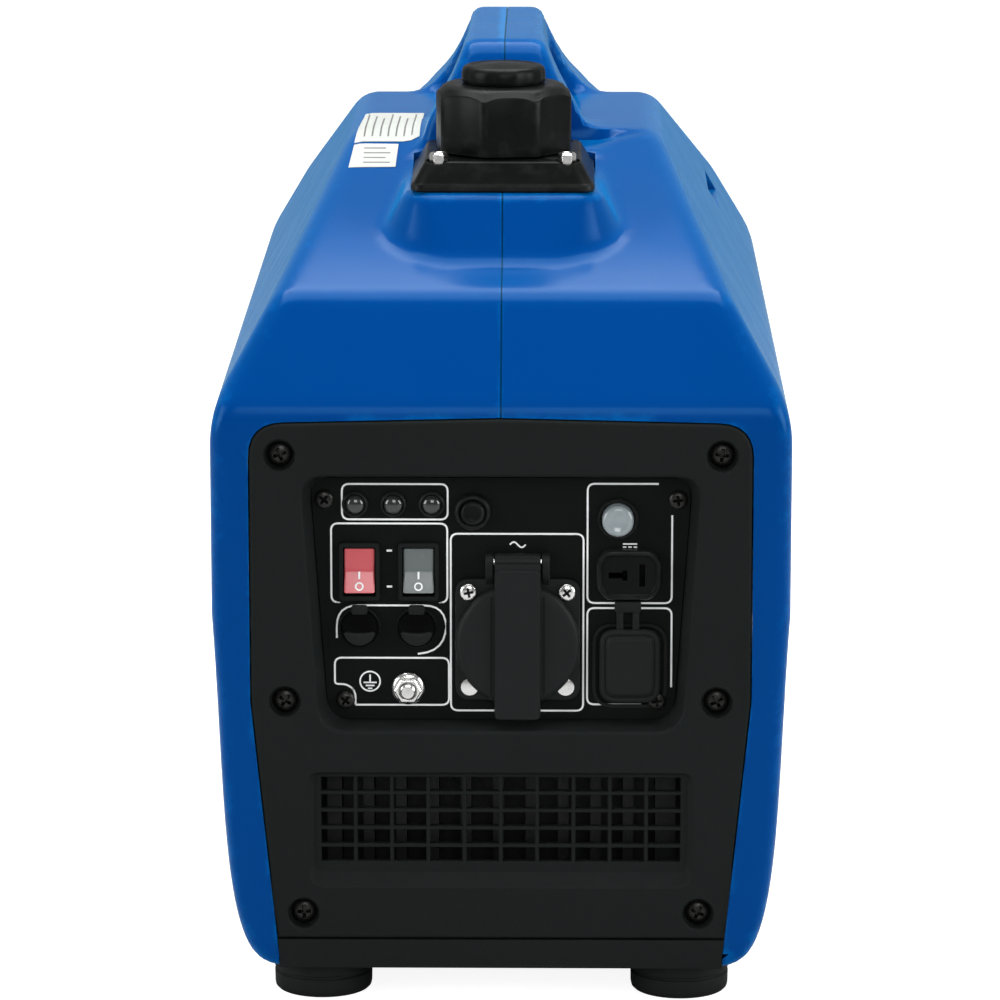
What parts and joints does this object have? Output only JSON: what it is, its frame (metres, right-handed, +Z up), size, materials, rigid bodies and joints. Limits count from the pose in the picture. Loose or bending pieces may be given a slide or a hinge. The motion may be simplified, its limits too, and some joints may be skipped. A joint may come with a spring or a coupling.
{
  "type": "inverter generator",
  "caption": "Suitcase inverter generator with a moulded carrying handle, a lobed fuel cap, a recessed control panel and a front air grille.",
  "frame": {"origin": "centre of the footprint, on the surface the feet stand on", "axes": "-Y out of the control panel, +Y towards the exhaust end, +Z up"},
  "size_m": [0.2384, 0.45, 0.3799],
  "materials": {
    "blue_plastic": "satin, finely textured",
    "black_plastic": "matt, finely textured",
    "red_plastic": "translucent gloss",
    "grey_plastic": "satin",
    "clear_plastic": "clear gloss",
    "rubber": "matt",
    "steel": "zinc plated",
    "aluminium": "as cast",
    "cast_iron": "as cast",
    "copper": "lacquered wire",
    "rope": "braided"
  },
  "bodies": {
    "generator": {"casing_left": "blue_plastic", "casing_right": "blue_plastic", "front_panel": "black_plastic", "front_grille": "black_plastic", "rear_panel": "black_plastic", "base_tray": "black_plastic", "control_plate": "black_plastic", "side_cover": "black_plastic", "recoil_housing": "black_plastic", "filler_flange": "black_plastic", "fuel_tank": "black_plastic", "engine_switch_bezel": "black_plastic", "eco_switch_bezel": "black_plastic", "parallel_socket_1": "black_plastic", "parallel_socket_2": "black_plastic", "ac_reset_collar": "black_plastic", "dc_breaker_collar": "black_plastic", "ac_socket_body": "black_plastic", "dc_socket": "black_plastic", "usb_socket": "black_plastic", "ignition_coil": "black_plastic", "air_filter_box": "black_plastic", "lamp_oil": "clear_plastic", "lamp_overload": "clear_plastic", "lamp_output": "clear_plastic", "foot_front_left": "rubber", "foot_front_right": "rubber", "foot_rear_left": "rubber", "foot_rear_right": "rubber", "ground_bolt": "steel", "ac_hinge_pin": "steel", "muffler": "steel", "engine_block": "aluminium", "cylinder_head_cover": "aluminium", "carburettor": "aluminium", "inverter_unit": "aluminium", "stator": "copper", "recoil_rope": "rope"},
    "cap_seal": {"cap_gasket": "rubber"},
    "filler_cap": {"fuel_cap": "black_plastic"},
    "vent_knob": {"cap_vent_knob": "black_plastic"},
    "ac_lid": {"ac_socket_lid": "black_plastic"},
    "usb_flap": {"usb_cover": "rubber"},
    "parallel_flap_left": {"parallel_flap_1": "rubber"},
    "parallel_flap_right": {"parallel_flap_2": "rubber"},
    "engine_rocker": {"engine_switch_rocker": "red_plastic"},
    "eco_rocker": {"eco_switch_rocker": "grey_plastic"},
    "reset_button": {"ac_reset_button": "black_plastic"},
    "breaker_button": {"dc_breaker_button": "clear_plastic"},
    "starter_grip": {"recoil_grip": "black_plastic"},
    "starter_pulley": {"recoil_pulley": "grey_plastic"},
    "crank_train": {"crankshaft": "steel", "flywheel_rotor": "cast_iron", "cooling_fan": "black_plastic"},
    "dial": {"fuel_dial": "black_plastic"},
    "service_door": {"service_cover": "blue_plastic"},
    "door_latch": {"service_cover_latch": "black_plastic"},
    "oil_cap": {"oil_filler_cap": "black_plastic"},
    "earth_nut": {"ground_nut": "steel"},
    "plug_cap": {"spark_plug_cap": "rubber"}
  },
  "joints": [
    {"name": "cap_lift", "type": "slide", "parent": "generator", "child": "cap_seal", "axis": [0, 0, 1], "range_m": [0, 0.06]},
    {"name": "cap_turn", "type": "hinge", "parent": "cap_seal", "child": "filler_cap", "pos_m": [0, -0.12, 0.36], "axis": [0, 0, 1], "range_deg": [0, 360]},
    {"name": "vent_turn", "type": "hinge", "parent": "filler_cap", "child": "vent_knob", "pos_m": [0, -0.12, 0.37], "axis": [0, 0, 1], "range_deg": [0, 90]},
    {"name": "ac_lid_open", "type": "hinge", "parent": "generator", "child": "ac_lid", "pos_m": [0.0068, -0.218, 0.185], "axis": [-1, 0, 0], "range_deg": [0, 110], "stiffness_Nm_per_rad": 0.03, "springref_deg": -28.65},
    {"name": "usb_cover_open", "type": "hinge", "parent": "generator", "child": "usb_flap", "pos_m": [0.0526, -0.2175, 0.1662], "axis": [-1, 0, 0], "range_deg": [0, 100], "stiffness_Nm_per_rad": 0.004},
    {"name": "flap_left_open", "type": "hinge", "parent": "generator", "child": "parallel_flap_left", "pos_m": [-0.0577, -0.2175, 0.1651], "axis": [-1, 0, 0], "range_deg": [0, 90], "stiffness_Nm_per_rad": 0.002},
    {"name": "flap_right_open", "type": "hinge", "parent": "generator", "child": "parallel_flap_right", "pos_m": [-0.0344, -0.2175, 0.1651], "axis": [-1, 0, 0], "range_deg": [0, 90], "stiffness_Nm_per_rad": 0.002},
    {"name": "engine_switch", "type": "hinge", "parent": "generator", "child": "engine_rocker", "pos_m": [-0.0577, -0.212, 0.18], "axis": [1, 0, 0], "range_deg": [0, 16]},
    {"name": "eco_switch", "type": "hinge", "parent": "generator", "child": "eco_rocker", "pos_m": [-0.0336, -0.212, 0.18], "axis": [1, 0, 0], "range_deg": [0, 16]},
    {"name": "ac_reset_press", "type": "slide", "parent": "generator", "child": "reset_button", "axis": [0, 1, 0], "range_m": [0, 0.002], "stiffness_N_per_m": 300, "springref_m": -0.001},
    {"name": "dc_breaker_press", "type": "slide", "parent": "generator", "child": "breaker_button", "axis": [0, 1, 0], "range_m": [0, 0.002], "stiffness_N_per_m": 300, "springref_m": -0.001},
    {"name": "starter_pull", "type": "slide", "parent": "generator", "child": "starter_grip", "axis": [-1, 0, 0], "range_m": [0, 0.55], "stiffness_N_per_m": 20, "springref_m": -0.05},
    {"name": "pulley_turn", "type": "hinge", "parent": "generator", "child": "starter_pulley", "pos_m": [-0.0925, -0.01, 0.112], "axis": [-1, 0, 0], "range_deg": [0, 671]},
    {"name": "crank_spin", "type": "hinge", "parent": "generator", "child": "crank_train", "pos_m": [0, -0.01, 0.112], "axis": [1, 0, 0], "continuous": true},
    {"name": "fuel_dial_turn", "type": "hinge", "parent": "generator", "child": "dial", "pos_m": [-0.112, 0.085, 0.19], "axis": [-1, 0, 0], "range_deg": [0, 120]},
    {"name": "service_cover_off", "type": "slide", "parent": "generator", "child": "service_door", "axis": [1, 0, 0], "range_m": [0, 0.08]},
    {"name": "latch_turn", "type": "hinge", "parent": "service_door", "child": "door_latch", "pos_m": [0.112, 0, 0.204], "axis": [1, 0, 0], "range_deg": [0, 90]},
    {"name": "oil_cap_turn", "type": "hinge", "parent": "generator", "child": "oil_cap", "pos_m": [0.042, -0.034, 0.078], "axis": [1, 0, 0], "range_deg": [0, 360]},
    {"name": "ground_nut_turn", "type": "hinge", "parent": "generator", "child": "earth_nut", "pos_m": [-0.038, -0.217, 0.131], "axis": [0, -1, 0], "range_deg": [0, 360]},
    {"name": "plug_cap_pull", "type": "slide", "parent": "generator", "child": "plug_cap", "axis": [0, 0, 1], "range_m": [0, 0.03]}
  ],
  "couplings": [
    {"joint": "pulley_turn", "follows": "starter_pull", "rad_per_m": 21.277}
  ]
}
